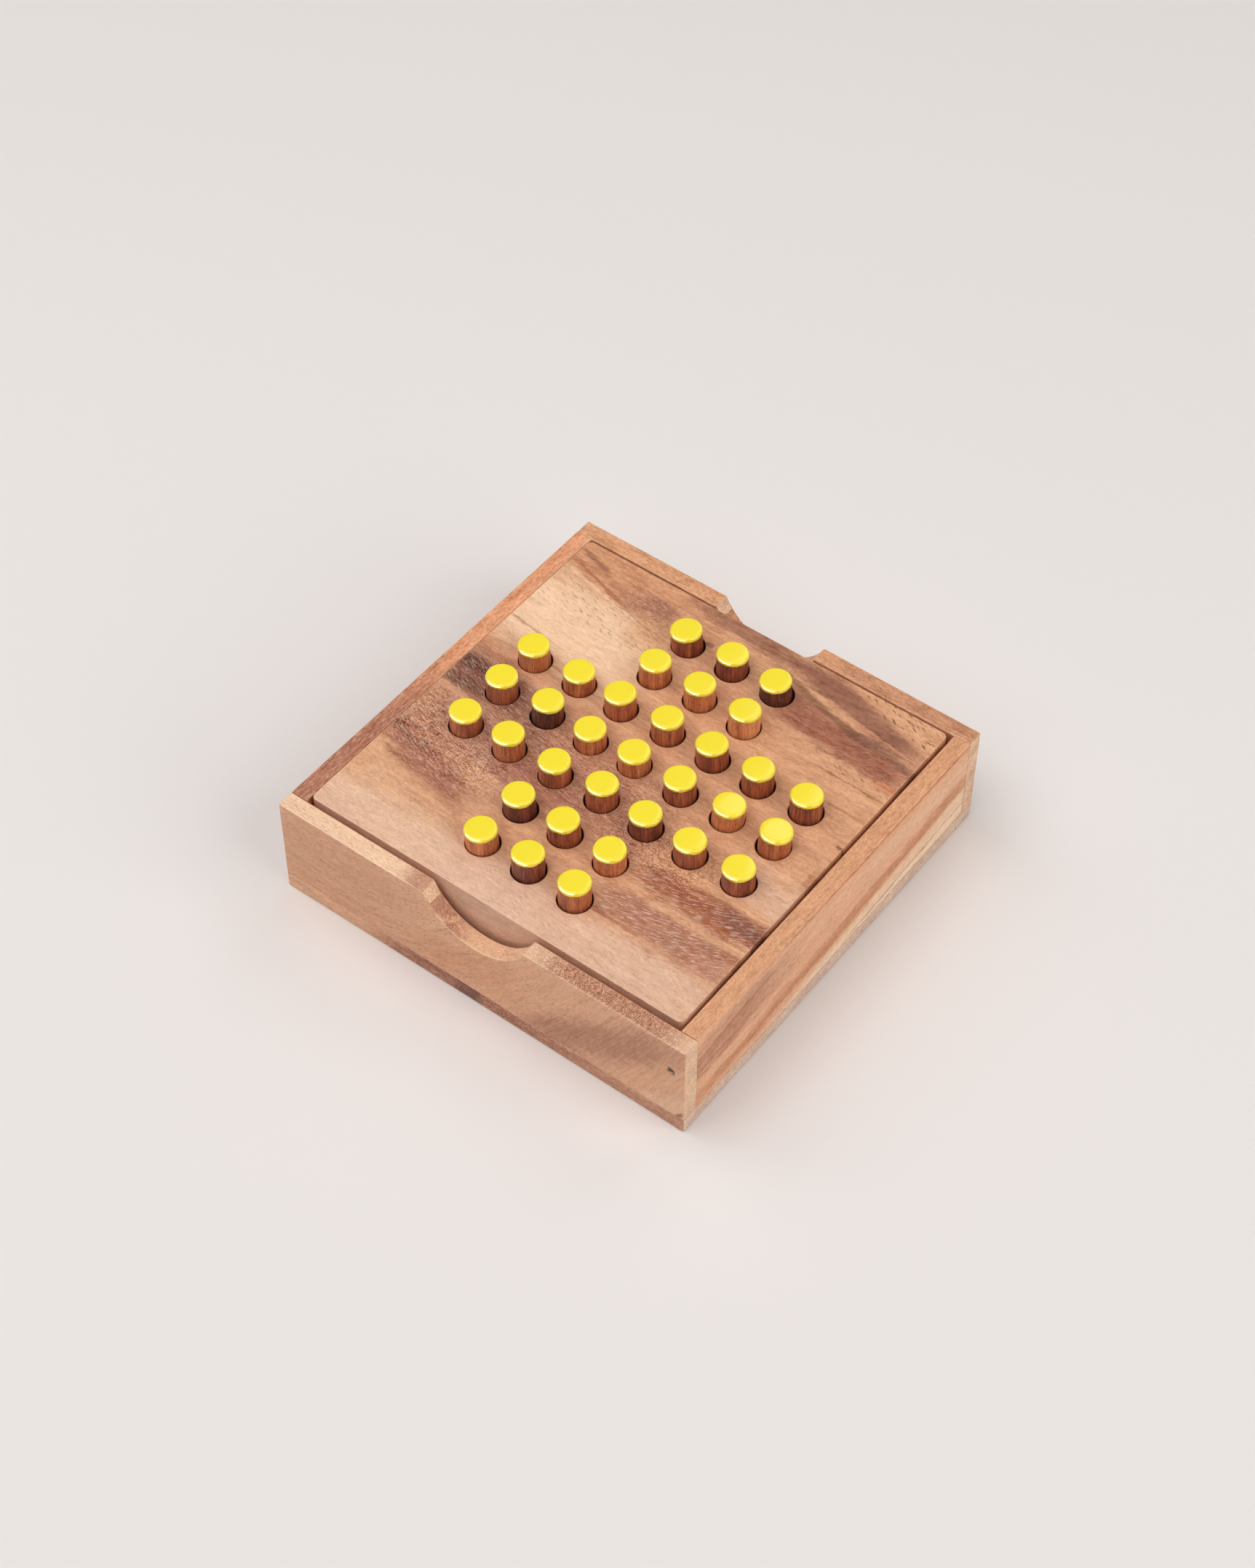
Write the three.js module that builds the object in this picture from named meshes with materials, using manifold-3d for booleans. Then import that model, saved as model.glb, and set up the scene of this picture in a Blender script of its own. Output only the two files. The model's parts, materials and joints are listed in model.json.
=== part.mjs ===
// A boxed peg solitaire game in wood. Four walls glued on a base panel make a square case, and the
// playing board lies in it on two ledges, above a space that holds the pegs taken off during play.
// The front and back walls have a scooped finger notch for lifting the board out. The board has
// blind holes in the English cross pattern, and each hole holds a peg with an enamelled head.
// Millimetres, +Z up, front towards -Y, origin under the middle of the base panel.

import * as THREE from "three";
import { mergeVertices } from "three/addons/utils/BufferGeometryUtils.js";
import Module from "manifold-3d";

const wasm = await Module();
wasm.setup();

// Hole pattern: a square grid that reaches three holes each way, with arms three holes wide
const holePitch = 14;
const gridReach = 3;
const armReach = 1;

// Pegs
const pegDiameter = 8.4;
const pegLength = 16.6;
const pegStandProud = 6.6;
const pegFootEase = 0.5;
const enamelCoat = 0.1;
const enamelEdgeRadius = 0.75;
const enamelSkirt = 0.2;

// Playing board
const boardSideMargin = 14.9;
const boardEndMargin = 14.3;
const boardBelowHoles = 5;
const boardCornerRadius = 1.5;
const boardEdgeEase = 0.4;
const holeClearance = 0.4;
const holeEdgeEase = 0.3;

// Case: the board's clearances and stand set its inside, the walls and the base panel its outside
const boardSideClearance = 0.6;
const boardEndClearance = 1.2;
const boardStandProud = 0.7;
const sideWallThickness = 5;
const endWallThickness = 5;
const basePanelThickness = 4.8;
const caseCornerRadius = 0.8;
const caseEdgeEase = 0.4;

// Ledges that carry the board above the peg store
const ledgeWidth = 5;
const ledgeHeight = 12.6;

// Finger notches in the front and back walls: arcs centred above the rim
const notchRadius = 17;
const notchDepth = 10;
const notchSideShift = -1;

// Brad through the front wall into the end of the right wall
const bradLength = 14;
const bradShankRadius = 0.4;
const bradHeadRadius = 0.7;
const bradHeadThickness = 0.5;
const bradHeadSink = 0.2;
const bradAcrossWallShare = 0.84;
const bradBelowRim = 9.9;
const bradClearance = 0.1;

// Cuts run past the faces that they open by this much
const overrun = 2;

// Facets: sides of round forms, and divisions of the arcs in outlines
const pegSides = 18;
const notchSides = 48;
const bradSides = 10;
const pegArcDivisions = 1;
const cornerArcDivisions = 2;

// What the driving sizes come to
const pegRadius = pegDiameter / 2;
const holeRadius = pegRadius + holeClearance;
const holeDepth = pegLength - pegStandProud;
const boardWidth = 2 * (gridReach * holePitch + boardSideMargin);
const boardDepth = 2 * (gridReach * holePitch + boardEndMargin);
const boardThickness = holeDepth + boardBelowHoles;
const innerWidth = boardWidth + 2 * boardSideClearance;
const innerDepth = boardDepth + 2 * boardEndClearance;
const caseWidth = innerWidth + 2 * sideWallThickness;
const caseDepth = innerDepth + 2 * endWallThickness;
const boardBottom = basePanelThickness + ledgeHeight;
const boardTop = boardBottom + boardThickness;
const holeFloor = boardTop - holeDepth;
const rimLevel = boardTop - boardStandProud;

const finishes = {
  paleWood: new THREE.MeshStandardMaterial({ color: 0xc69a75, roughness: 0.62, metalness: 0 }),
  warmWood: new THREE.MeshStandardMaterial({ color: 0xb4805a, roughness: 0.6, metalness: 0 }),
  boardWood: new THREE.MeshStandardMaterial({ color: 0xc49377, roughness: 0.58, metalness: 0 }),
  hiddenWood: new THREE.MeshStandardMaterial({ color: 0xa97c58, roughness: 0.75, metalness: 0 }),
  brightPeg: new THREE.MeshStandardMaterial({ color: 0xffe640, roughness: 0.25, metalness: 0 }),
  darkSteel: new THREE.MeshStandardMaterial({ color: 0x55565a, roughness: 0.45, metalness: 0.9 }),
};

// A closed geometry as a solid, once the vertices that its faces share are merged
function solidFrom(geometry) {
  const bare = geometry.clone();
  bare.deleteAttribute("normal");
  bare.deleteAttribute("uv");
  const merged = mergeVertices(bare);
  return new wasm.Manifold(
    new wasm.Mesh({
      numProp: 3,
      vertProperties: merged.attributes.position.array,
      triVerts: Uint32Array.from(merged.index.array),
    }),
  );
}

function geometryFrom(solid) {
  const mesh = solid.getMesh();
  const geometry = new THREE.BufferGeometry();
  geometry.setAttribute("position", new THREE.BufferAttribute(mesh.vertProperties, 3));
  geometry.setIndex(new THREE.BufferAttribute(mesh.triVerts, 1));
  geometry.computeVertexNormals();
  return geometry;
}

function namedMesh(name, geometry, finish) {
  const mesh = new THREE.Mesh(geometry, finish.clone());
  mesh.name = name;
  return mesh;
}

// A box between two corners
function blockBetween(low, high) {
  const size = high.map((value, axis) => value - low[axis]);
  const middle = high.map((value, axis) => (value + low[axis]) / 2);
  return new THREE.BoxGeometry(...size).translate(...middle);
}

function roundedRectangle(width, depth, radius) {
  const x = width / 2 - radius;
  const y = depth / 2 - radius;
  const quarter = Math.PI / 2;
  const outline = new THREE.Shape();
  outline.absarc(x, y, radius, 0, quarter);
  outline.absarc(-x, y, radius, quarter, 2 * quarter);
  outline.absarc(-x, -y, radius, 2 * quarter, 3 * quarter);
  outline.absarc(x, -y, radius, 3 * quarter, 4 * quarter);
  return outline;
}

// A block standing on a level, with round upright corners and its top and bottom edges eased
function easedBlock(width, depth, height, cornerRadius, ease, level) {
  return new THREE.ExtrudeGeometry(roundedRectangle(width, depth, cornerRadius), {
    depth: height - 2 * ease,
    curveSegments: cornerArcDivisions,
    bevelEnabled: true,
    bevelSegments: 1,
    bevelThickness: ease,
    bevelSize: ease,
    bevelOffset: -ease,
  }).translate(0, 0, level + ease);
}

// The brad, or with a clearance the stepped hole that it is driven into
function bradForm(clearance, headTop) {
  const shank = bradShankRadius + clearance;
  const head = bradHeadRadius + clearance;
  const foot = -bradLength - clearance;
  const shoulder = -bradHeadThickness - clearance;
  return new THREE.LatheGeometry(
    [
      new THREE.Vector2(0, foot),
      new THREE.Vector2(shank, foot),
      new THREE.Vector2(shank, shoulder),
      new THREE.Vector2(head, shoulder),
      new THREE.Vector2(head, headTop),
      new THREE.Vector2(0, headTop),
    ],
    bradSides,
  )
    .rotateX(Math.PI)
    .translate(
      caseWidth / 2 - bradAcrossWallShare * sideWallThickness,
      bradHeadSink - caseDepth / 2,
      rimLevel - bradBelowRim,
    );
}

// Case: one block with its outer edges eased, parted into the pieces that it is glued up from
function makeCase() {
  const block = solidFrom(
    easedBlock(caseWidth, caseDepth, rimLevel, caseCornerRadius, caseEdgeEase, 0),
  );
  const outX = caseWidth / 2 + overrun;
  const outY = caseDepth / 2 + overrun;
  const inX = innerWidth / 2;
  const inY = innerDepth / 2;
  const floor = basePanelThickness;
  const above = rimLevel + overrun;
  const notch = solidFrom(
    new THREE.CylinderGeometry(notchRadius, notchRadius, 2 * outY, notchSides).translate(
      notchSideShift,
      0,
      rimLevel - notchDepth + notchRadius,
    ),
  );
  const bradHole = solidFrom(bradForm(bradClearance, overrun));

  const part = (low, high) => block.intersect(solidFrom(blockBetween(low, high)));
  const base = part([-outX, -outY, -overrun], [outX, outY, floor]);
  const front = part([-outX, -outY, floor], [outX, -inY, above]).subtract(notch).subtract(bradHole);
  const back = part([-outX, inY, floor], [outX, outY, above]).subtract(notch);
  const left = part([-outX, -inY, floor], [-inX, inY, above]);
  const right = part([inX, -inY, floor], [outX, inY, above]).subtract(bradHole);

  const group = new THREE.Group();
  group.add(namedMesh("base_panel", geometryFrom(base), finishes.paleWood));
  group.add(namedMesh("front_wall", geometryFrom(front), finishes.paleWood));
  group.add(namedMesh("back_wall", geometryFrom(back), finishes.warmWood));
  group.add(namedMesh("left_wall", geometryFrom(left), finishes.warmWood));
  group.add(namedMesh("right_wall", geometryFrom(right), finishes.warmWood));
  group.add(namedMesh("corner_brad", bradForm(0, 0), finishes.darkSteel));
  return group;
}

// Ledges: a strip glued along the inside of each side wall, up to the underside of the board
function makeLedges() {
  const outer = innerWidth / 2;
  const inner = outer - ledgeWidth;
  const end = innerDepth / 2;
  const floor = basePanelThickness;
  const left = blockBetween([-outer, -end, floor], [-inner, end, boardBottom]);
  const right = blockBetween([inner, -end, floor], [outer, end, boardBottom]);
  const group = new THREE.Group();
  group.add(namedMesh("left_ledge", left, finishes.hiddenWood));
  group.add(namedMesh("right_ledge", right, finishes.hiddenWood));
  return group;
}

// The cells of the cross, by row from the front and column from the left, with their centres
function crossCells() {
  const cells = [];
  for (let row = -gridReach; row <= gridReach; row += 1) {
    for (let column = -gridReach; column <= gridReach; column += 1) {
      if (Math.min(Math.abs(row), Math.abs(column)) <= armReach) {
        cells.push({
          name: `row${row + gridReach + 1}_col${column + gridReach + 1}`,
          x: column * holePitch,
          y: row * holePitch,
        });
      }
    }
  }
  return cells;
}

// A blind hole with an eased edge, as the form that is cut out of the board
function holeForm() {
  const mouthRadius = holeRadius + holeEdgeEase;
  return new THREE.LatheGeometry(
    [
      new THREE.Vector2(0, holeFloor),
      new THREE.Vector2(holeRadius, holeFloor),
      new THREE.Vector2(holeRadius, boardTop - holeEdgeEase),
      new THREE.Vector2(mouthRadius, boardTop),
      new THREE.Vector2(mouthRadius, boardTop + overrun),
      new THREE.Vector2(0, boardTop + overrun),
    ],
    pegSides,
  ).rotateX(Math.PI / 2);
}

function makeBoard(cells) {
  let board = solidFrom(
    easedBlock(
      boardWidth,
      boardDepth,
      boardThickness,
      boardCornerRadius,
      boardEdgeEase,
      boardBottom,
    ),
  );
  for (const cell of cells) {
    board = board.subtract(solidFrom(holeForm().translate(cell.x, cell.y, 0)));
  }
  return namedMesh("playing_board", geometryFrom(board), finishes.boardWood);
}

// A peg: a dowel with an eased foot, and a rounded head under a coat of enamel
function pegForm() {
  const coatRadius = pegRadius + enamelCoat;
  const roundStart = pegLength - enamelEdgeRadius;
  const roundCentre = coatRadius - enamelEdgeRadius;
  const outline = new THREE.Path();
  outline.moveTo(0, 0);
  outline.lineTo(pegRadius - pegFootEase, 0);
  outline.lineTo(pegRadius, pegFootEase);
  outline.lineTo(pegRadius, roundStart - enamelSkirt);
  outline.absarc(roundCentre, roundStart, enamelEdgeRadius, 0, Math.PI / 2);
  outline.lineTo(0, pegLength);
  return new THREE.LatheGeometry(outline.getPoints(pegArcDivisions), pegSides).rotateX(
    Math.PI / 2,
  );
}

function makePegs(cells) {
  const group = new THREE.Group();
  const form = pegForm();
  for (const cell of cells) {
    const peg = namedMesh(`peg_${cell.name}`, form, finishes.brightPeg);
    peg.position.set(cell.x, cell.y, holeFloor);
    group.add(peg);
  }
  return group;
}

const solitaireSet = new THREE.Group();
const cells = crossCells();
solitaireSet.add(makeCase(), makeLedges(), makeBoard(cells), makePegs(cells));

export default solitaireSet;
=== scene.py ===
"""Looks for a boxed peg solitaire game in wood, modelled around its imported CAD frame.

A square case is glued up from a base panel and four walls. The playing board lies in it on two ledges, and
each of its 33 blind holes holds a dowel whose head was dipped in yellow enamel. Lengths are in metres in
the frame's axes: +Z up, front towards -Y.
"""

import json
import math
from functools import cache
from random import Random
from typing import NamedTuple

import bmesh
import bpy
from bmesh.types import BMEdge, BMFace, BMVert
from mathutils import Matrix, Quaternion, Vector, noise

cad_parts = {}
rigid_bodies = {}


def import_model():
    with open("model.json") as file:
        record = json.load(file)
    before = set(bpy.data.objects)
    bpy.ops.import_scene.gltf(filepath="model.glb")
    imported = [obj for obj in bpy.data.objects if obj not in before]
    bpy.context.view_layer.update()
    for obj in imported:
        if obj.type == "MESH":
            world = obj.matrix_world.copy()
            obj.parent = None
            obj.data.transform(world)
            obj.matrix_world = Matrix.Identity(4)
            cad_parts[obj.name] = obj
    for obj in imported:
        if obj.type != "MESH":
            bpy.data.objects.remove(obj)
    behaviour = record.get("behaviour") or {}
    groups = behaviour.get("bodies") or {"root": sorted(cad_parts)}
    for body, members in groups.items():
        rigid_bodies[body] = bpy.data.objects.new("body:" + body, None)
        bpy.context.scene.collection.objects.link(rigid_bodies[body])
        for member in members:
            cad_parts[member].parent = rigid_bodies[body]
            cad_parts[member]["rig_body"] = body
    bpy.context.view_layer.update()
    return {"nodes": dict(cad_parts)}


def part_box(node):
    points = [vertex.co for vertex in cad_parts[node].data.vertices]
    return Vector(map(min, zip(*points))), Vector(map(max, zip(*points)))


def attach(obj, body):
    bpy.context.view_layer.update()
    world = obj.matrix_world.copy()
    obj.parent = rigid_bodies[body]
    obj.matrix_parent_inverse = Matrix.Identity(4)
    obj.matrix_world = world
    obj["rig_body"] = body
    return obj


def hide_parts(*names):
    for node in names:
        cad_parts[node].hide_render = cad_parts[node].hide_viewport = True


bl_info = {
    "name": "Boxed Peg Solitaire",
    "version": (1, 0, 0),
    "blender": (4, 5, 0),
    "location": "View3D > Sidebar > Solitaire",
    "description": "Models a wooden peg solitaire game with enamelled pegs around its CAD frame",
    "category": "Object",
}

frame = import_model()

MM = 0.001
QUARTER_TURN = math.pi / 2
FULL_TURN = 2 * math.pi
TOUCH = 1e-6  # points nearer than this, in metres, count as one
X, Y, Z = range(3)
UP = Vector((0, 0, 1))

# The frame's names
BOARD = "playing_board"
BASE = "base_panel"
FRONT_WALL = "front_wall"
BACK_WALL = "back_wall"
SIDE_WALLS = ("left_wall", "right_wall")
LEDGES = ("left_ledge", "right_ledge")
BRAD = "corner_brad"
PEGS = sorted(name for name in frame["nodes"] if name.startswith("peg_row"))

# The photograph's camera, found from the square grid of pegs and the edges of the case
CAMERA_HEADING = math.radians(37.02)
CAMERA_DOWN = math.radians(49.39)
CAMERA_ROLL = math.radians(0.30)
CAMERA_PLACE = Vector((0.2969, -0.3961, 0.6028))
SENSOR_WIDTH = 36
CLIP_NEAR, CLIP_FAR = 0.01, 20

FLOOR_HALF = 3.0
FLOOR_DROP = 0.05 * MM  # how far the floor lies below the base
PALE_FROM, PALE_FULLY = 0.8, 2.0  # where the floor turns into the backdrop
BACKDROP_COLOUR = (1.0, 0.98, 0.96, 1)

# The soft lamps round the game: name, size and place in metres
LAMPS = (
    ("key", 1.1, (-0.35, -0.2, 1.3)),
    ("front", 0.9, (-0.05, -0.75, 1.0)),
    ("left", 0.8, (-1.0, -0.15, 0.75)),
    ("right", 1.2, (1.1, 0.1, 0.8)),
    ("back", 0.9, (0, 1.0, 0.9)),
)
REFLECTOR_WIDTH, REFLECTOR_HEIGHT = 2.2, 1.1
REFLECTOR_PLACE = (-0.3, -0.95, 0.38)


# Settings

def length(name, description, millimetres):
    """A property that holds a length, with its default given in millimetres."""
    return bpy.props.FloatProperty(
        name=name, description=description, default=millimetres * MM, unit="LENGTH")


def colour(name, description, default):
    return bpy.props.FloatVectorProperty(
        name=name, description=description, subtype="COLOR", size=3, default=default)


def amount(name, description, default):
    """A property that holds a number that can't be less than nothing."""
    return bpy.props.FloatProperty(name=name, description=description, default=default, min=0)


class CaseSettings(bpy.types.PropertyGroup):
    """Sizes of the glued case."""

    edge_ease: length("Edge ease", "Rounding sanded on the open edges", 0.45)
    joint_ease: length("Joint ease", "Fine groove left along glued edges", 0.1)
    sanding: length("Sanding", "Deepest hollow that hand sanding left", 0.07)
    notch_radius: length("Notch radius", "Radius of the finger notches", 17)
    notch_depth: length("Notch depth", "Depth of the notches below the rim", 10)
    notch_shift: length("Notch shift", "Sideways place of the notches", -1)
    brad_recess: length("Brad recess", "Depth of the hole round the brad's head", 0.6)
    brad_slack: length("Brad slack", "Gap round the brad's head", 0.15)


class BoardSettings(bpy.types.PropertyGroup):
    """Sizes of the playing board."""

    corner_radius: length("Corner radius", "Radius of the board's corners", 1.5)
    drift: length("Drift", "How far the loose board lies to the left", 0.22)
    edge_ease: length("Edge ease", "Rounding of the long edges", 0.3)
    hole_clearance: length("Hole clearance", "Gap between dowel and hole", 0.4)
    rim_ease: length("Hole rim ease", "Rounding of the hole mouths", 0.3)
    rim_chips: length("Rim chips", "How ragged the hole mouths are", 0.07)


class PegSettings(bpy.types.PropertyGroup):
    """Sizes and colour of the pegs."""

    enamel: colour("Enamel", "Colour of the dipped heads", (1.0, 0.8, 0.042))
    coat: length("Coat", "Thickness of the enamel", 0.1)
    head_radius: length("Head edge radius", "Rounding of the head's edge", 0.75)
    skirt: length("Skirt", "How far the enamel reaches below the round edge", 0.28)
    drip: length("Drip", "How ragged the enamel's lower edge is", 0.32)
    out_of_round: length("Out of round", "How far a head is from a true circle", 0.11)
    lean_limit: bpy.props.FloatProperty(
        name="Lean limit", description="Largest lean that the hole allows", default=math.radians(3.6),
        subtype="ANGLE")


class StageSettings(bpy.types.PropertyGroup):
    """Camera, floor and studio light."""

    floor: colour("Floor", "Colour of the floor", (0.80, 0.755, 0.73))
    backdrop: amount("Backdrop", "Brightness of the backdrop, as the camera sees it", 0.78)
    ambient: amount("Ambient", "Strength of the light from all round", 0.04)
    key: amount("Key", "Power of the large lamp overhead, in watts", 8.8)
    front: amount("Front", "Power of the lamp in front, in watts", 2.7)
    left: amount("Left", "Power of the lamp on the left, in watts", 2.8)
    right: amount("Right", "Power of the broad lamp on the right, in watts", 10.5)
    back: amount("Back", "Power of the lamp behind, in watts", 3.3)
    reflector: amount("Reflector", "Power of the card that only shines in reflections, in watts", 90)
    focal_length: amount("Focal length", "Camera lens, in millimetres", 69.65)


# Colours

def srgb(*channels):
    """A screen colour, 0 to 255 a channel, as the linear colour that Blender's nodes take."""
    def linear(share):
        return share / 12.92 if share <= 0.04045 else ((share + 0.055) / 1.055) ** 2.4

    return (*(linear(channel / 255) for channel in channels), 1)


WOODS = {name: srgb(*channels) for name, channels in {
    "milk": (255, 232, 200),
    "cream": (250, 214, 178),
    "blush": (230, 192, 166),
    "peach": (243, 194, 158),
    "tan": (222, 170, 130),
    "sand": (212, 158, 120),
    "apricot": (236, 172, 130),
    "honey": (216, 150, 108),
    "amber": (214, 132, 86),
    "fawn": (198, 144, 116),
    "pink": (188, 138, 116),
    "rose": (180, 124, 98),
    "rust": (166, 98, 68),
    "sienna": (160, 98, 74),
    "russet": (164, 104, 82),
    "mauve": (152, 102, 82),
    "chestnut": (138, 88, 72),
    "plum": (120, 76, 64),
    "walnut": (100, 61, 46),
    "umber": (106, 60, 40),
    "bark": (62, 38, 30),
    "ash": (240, 216, 196),
    "stone": (206, 168, 142),
}.items()}
PEG_BROWNS = ((66, 37, 27), (128, 66, 42), (184, 104, 64), (220, 140, 88), (240, 172, 118))
FIGURE_TINT = (0.85, 1.0, 1.15)  # darker grain is redder, as the channels swing by these shares
OIL = (0.94, 0.88, 0.85)  # what a coat of oil lets through of each channel


# Shader wiring

def in_use(sockets):
    """The sockets that a node's settings leave in use, by name."""
    return {socket.name: socket for socket in sockets if socket.enabled}


class Signal:
    """A value on its way through a shader. Arithmetic on it adds math nodes."""

    def __init__(self, socket):
        self.socket = socket
        self.wiring = Wiring(socket.id_data)

    def math(self, operation, *others):
        return self.wiring.node(
            "ShaderNodeMath", dict(enumerate((self, *others))), operation=operation)["Value"]

    def __add__(self, other):
        return self.math("ADD", other)

    def __sub__(self, other):
        return self.math("SUBTRACT", other)

    def __mul__(self, other):
        return self.math("MULTIPLY", other)

    def __truediv__(self, other):
        return self.math("DIVIDE", other)

    def __abs__(self):
        return self.math("ABSOLUTE")

    def most(self, other):
        return self.math("MAXIMUM", other)

    def fade(self, start, end, low=0.0, high=1.0):
        return self.wiring.node(
            "ShaderNodeMapRange",
            {"Value": self, "From Min": start, "From Max": end, "To Min": low, "To Max": high},
            interpolation_type="SMOOTHSTEP")["Result"]


class Wiring:
    """Places and joins nodes in one material or node group."""

    def __init__(self, tree):
        self.tree = tree

    def feed(self, node, inputs):
        """Joins signals to a node's inputs, and sets the inputs that have plain values."""
        for name, value in inputs.items():
            target = node.inputs[name] if isinstance(name, int) else in_use(node.inputs)[name]
            if isinstance(value, Signal):
                self.tree.links.new(value.socket, target)
            else:
                target.default_value = value

    def node(self, kind, inputs=None, **settings):
        """Adds a node, and returns its outputs by name."""
        made = self.tree.nodes.new(kind)
        for key, value in settings.items():
            setattr(made, key, value)
        self.feed(made, inputs or {})
        return {name: Signal(socket) for name, socket in in_use(made.outputs).items()}

    def group(self, tree, **inputs):
        named = {key.replace("_", " ").capitalize(): value for key, value in inputs.items()}
        return self.node("ShaderNodeGroup", named, node_tree=tree)

    def split(self, vector):
        return self.node("ShaderNodeSeparateXYZ", {"Vector": vector}).values()

    def joined(self, x, y, z):
        return self.node("ShaderNodeCombineXYZ", {"X": x, "Y": y, "Z": z})["Vector"]

    def scaled(self, vector, scale, offset=(0, 0, 0)):
        return self.node(
            "ShaderNodeVectorMath", {0: vector, 1: scale, 2: offset}, operation="MULTIPLY_ADD")["Vector"]

    def noise(self, vector, scale, offset=(0, 0, 0), detail=2.0, roughness=0.5, distortion=0.0):
        return self.node(
            "ShaderNodeTexNoise",
            {"Vector": self.scaled(vector, scale, offset), "Scale": 1.0, "Detail": detail,
             "Roughness": roughness, "Distortion": distortion})["Fac"]

    def pores(self, vector, full, none, fewest, most):
        """Short pores in the cells of a vector, of which only some have one."""
        cell = self.node("ShaderNodeTexVoronoi", {"Vector": vector, "Scale": 1.0})
        chance, *_ = self.split(cell["Color"])
        return cell["Distance"].fade(none, full) * chance.fade(fewest, most)

    def mix(self, share, first, second, blend="MIX"):
        return self.node(
            "ShaderNodeMix", {"Factor": share, "A": first, "B": second}, data_type="RGBA",
            blend_type=blend)["Result"]

    def attribute(self, name):
        return self.node("ShaderNodeAttribute", attribute_name=name)["Fac"]

    def position(self):
        """The object's own coordinates, in millimetres."""
        return self.scaled(self.node("ShaderNodeTexCoord")["Object"], (1 / MM, 1 / MM, 1 / MM))

    def seen(self):
        """1 for what the camera sees straight, and 0 for light and reflections."""
        return self.node("ShaderNodeLightPath")["Is Camera Ray"]

    def bump(self, height, strength, millimetres):
        inputs = {"Height": height, "Strength": strength, "Distance": millimetres * MM}
        return self.node("ShaderNodeBump", inputs)["Normal"]


def add_sockets(tree, names, direction):
    for name in names:
        kind = "NodeSocketVector" if name in ("Place", "Grain") else "NodeSocketFloat"
        tree.interface.new_socket(name, in_out=direction, socket_type=kind)


def start_group(name, *inputs):
    """A new shader node group: its wiring, and its inputs by name."""
    tree = bpy.data.node_groups.new(name, "ShaderNodeTree")
    add_sockets(tree, inputs, "INPUT")
    w = Wiring(tree)
    return w, w.node("NodeGroupInput")


def end_group(w, **outputs):
    add_sockets(w.tree, outputs, "OUTPUT")
    w.node("NodeGroupOutput", outputs)
    return w.tree


@cache
def grain_lie():
    """How the grain lies: bent by slow waves, and by a sweep that starts part way along.

    The place is for streaks: it is frayed, and leaves the sweep out.
    """
    w, given = start_group("Grain lie", "Along", "Across", "Through", "Wave", "Sweep", "Sweep start", "Seed")
    along, across, through = given["Along"], given["Across"], given["Through"]
    seeded = given["Seed"] * 371.0 + along

    def bent(height):
        spot = w.joined(seeded, height, through)
        slow = w.noise(spot, (0.014, 0.03, 0.03), detail=1.0) - 0.5
        quick = w.noise(spot, (0.06, 0.11, 0.11), (9, 4, 7)) - 0.5
        return (quick * 0.35 + slow) * given["Wave"] * 2.0 + height

    level = bent(across)
    frayed = w.noise(w.joined(seeded, level, through), (0.45, 1.1, 1.1), (3, 6, 2), 3.0) * 1.6 + level
    reach = (along - given["Sweep start"]).most(0.0)
    swept = bent(across - reach * reach * given["Sweep"])
    return end_group(
        w, Place=w.joined(along, frayed - 0.8, through),
        Grain=w.joined(along, given["Seed"] * 53.0 + swept, through))


@cache
def streak_band():
    """A mask for one band of other colour, where it lies in the wood and how it climbs."""
    w, given = start_group(
        "Streak", "Place", "Along", "Across", "Half length", "Half width", "Strength", "Ragged", "Rise")
    x, y, _ = w.split(given["Place"])
    u = x - given["Along"]
    v = y - given["Across"] - given["Rise"] * u
    torn = (w.noise(given["Place"], (0.05, 0.4, 0.3), detail=4.0, roughness=0.6) - 0.5) * 3.0
    side = abs(v) / given["Half width"] + torn * given["Ragged"]
    end = abs(u) / given["Half length"]
    return end_group(w, Mask=side.fade(1.3, 0.4) * end.fade(1.05, 0.45) * given["Strength"])


@cache
def fine_grain():
    """The close figure of the wood: lines, bands, broad tones, mottle, grit, pores, flecks and ripple."""
    w, given = start_group("Fine grain", "Grain", "Pore length", "Pore width", "Pore slant", "Fleck sweep")
    grain = given["Grain"]
    x, y, z = w.split(grain)
    slanted = y - given["Pore slant"] * x
    cell = w.joined(x / given["Pore length"], slanted / given["Pore width"], z / given["Pore width"])
    swept = w.joined(x, y - given["Fleck sweep"] * x * x, z)
    return end_group(
        w,
        Lines=w.noise(grain, (0.08, 2.2, 2.2), detail=5.0, roughness=0.64),
        Bands=w.noise(grain, (0.022, 0.55, 0.55), (7, 2, 6), 3.0, 0.6),
        Tones=w.noise(grain, (0.013, 0.16, 0.16), (3, 8, 5), 4.0, 0.55),
        Mottle=w.noise(grain, (0.17, 0.5, 0.5), (4, 4, 8), 4.0, 0.62, 0.6),
        Grit=w.noise(grain, (0.9, 2.3, 2.3), (8, 1, 3), 3.0, 0.6, 0.4),
        Pores=w.pores(cell, 0.15, 0.42, 0.15, 0.4),
        Flecks=w.noise(swept, (0.4, 2.5, 2.5), (6, 3, 1), 2.0, 0.55, 0.2).fade(0.5, 0.66),
        Ripple=w.noise(grain, (1.0, 1.6, 1.6), (5, 1, 2), 2.0, 0.5, 2.0).fade(0.4, 0.62))


@cache
def edge_wear_and_highlight():
    """How pale the eased edges are painted, partly for wear and partly as a painted highlight, broken up so
    that no edge is even.
    """
    w, given = start_group("Edge wear", "Grain")
    broken = w.noise(given["Grain"], (0.35, 0.6, 0.6), (2, 6, 1), 3.0).fade(0.3, 0.62)
    return end_group(w, Mask=w.attribute("ease") * broken)


# Wood

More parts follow.
